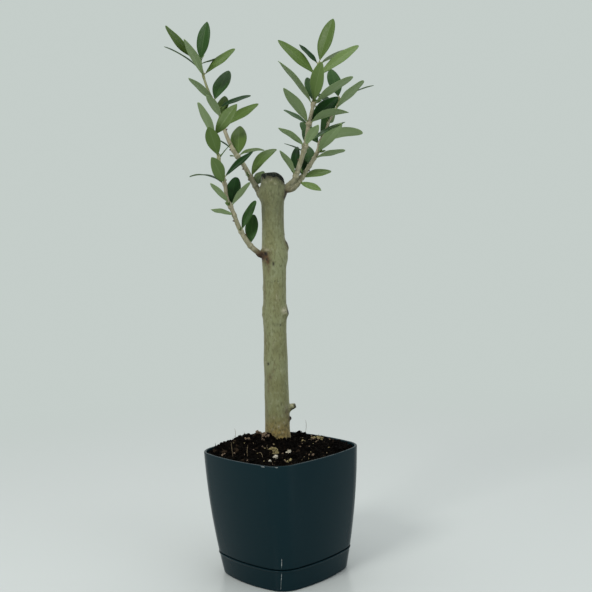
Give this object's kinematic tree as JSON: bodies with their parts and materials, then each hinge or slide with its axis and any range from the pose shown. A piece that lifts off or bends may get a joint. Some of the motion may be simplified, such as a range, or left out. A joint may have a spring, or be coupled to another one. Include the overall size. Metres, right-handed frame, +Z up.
{
  "type": "potted olive tree",
  "caption": "Young olive tree with a straight bare trunk, a sawn top and slender leafy shoots on both sides, in a dark square pot with rounded corners and its saucer.",
  "frame": {"origin": "middle of the saucer's flat underside", "axes": "+Z up along the plant, +X to the right and -Y towards the viewer of the picture; a corner of the pot points to -Y"},
  "size_m": [0.1947, 0.1412, 0.5117],
  "materials": {
    "pot_plastic": "satin gloss, dark petrol blue",
    "soil": "coarse moist peat",
    "grains": "matt pale grains and fibres",
    "bark": "smooth grey-green bark",
    "twigs": "pale young bark",
    "leaves": "leathery, glossy above and pale below"
  },
  "bodies": {
    "root": {"saucer": "pot_plastic", "pot": "pot_plastic", "soil": "soil", "trunk": "bark", "bough_left_low": "bark", "bough_left_high": "bark", "bough_right": "bark", "foliage_left_low": "leaves", "foliage_left_high": "leaves", "foliage_left_top": "leaves", "foliage_right_front": "leaves", "foliage_right_top": "leaves", "foliage_right_rear": "leaves"}
  },
  "joints": []
}
